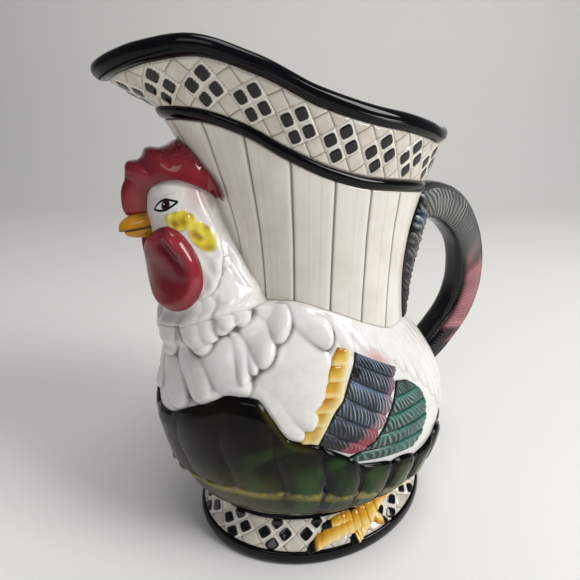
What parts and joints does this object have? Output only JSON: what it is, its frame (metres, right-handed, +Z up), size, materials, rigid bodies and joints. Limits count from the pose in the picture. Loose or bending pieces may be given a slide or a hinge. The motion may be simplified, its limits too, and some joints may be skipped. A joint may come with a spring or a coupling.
{
  "type": "pitcher",
  "caption": "Glazed rooster pitcher: hollow jug on a flared foot with a planked neck, a lattice collar and spout, a moulded rooster and a tail handle.",
  "frame": {"origin": "centre of the oval foot, on the surface that the pitcher stands on", "axes": "+Z up, +X towards the handle, -X towards the spout, +Y to the rooster's right side"},
  "size_m": [0.199, 0.1252, 0.238],
  "materials": {
    "black_glaze": "glossy",
    "white_glaze": "glossy",
    "plank_glaze": "glossy",
    "lattice_glaze": "glossy",
    "comb_glaze": "glossy",
    "beak_glaze": "glossy",
    "leaf_glaze": "glossy",
    "bar_glaze": "glossy",
    "fan_glaze": "glossy",
    "tips_glaze": "glossy",
    "tail_glaze": "glossy",
    "claw_glaze": "glossy"
  },
  "bodies": {
    "root": {"base": "black_glaze", "foot": "lattice_glaze", "waist_band": "black_glaze", "belly": "white_glaze", "shoulder": "white_glaze", "neck": "plank_glaze", "collar_bead": "black_glaze", "collar": "lattice_glaze", "rim": "black_glaze", "hackle": "white_glaze", "head": "white_glaze", "comb": "comb_glaze", "beak_upper": "beak_glaze", "beak_lower": "beak_glaze", "wattle_left": "comb_glaze", "wattle_right": "comb_glaze", "leaf_band": "leaf_glaze", "wing_bar_left": "bar_glaze", "wing_bar_right": "bar_glaze", "wing_fan_left": "fan_glaze", "wing_fan_right": "fan_glaze", "wing_tips_left": "tips_glaze", "wing_tips_right": "tips_glaze", "tail_sprig_left": "tail_glaze", "tail_sprig_right": "tail_glaze", "claw_left": "claw_glaze", "claw_right": "claw_glaze", "handle": "tail_glaze"}
  },
  "joints": []
}
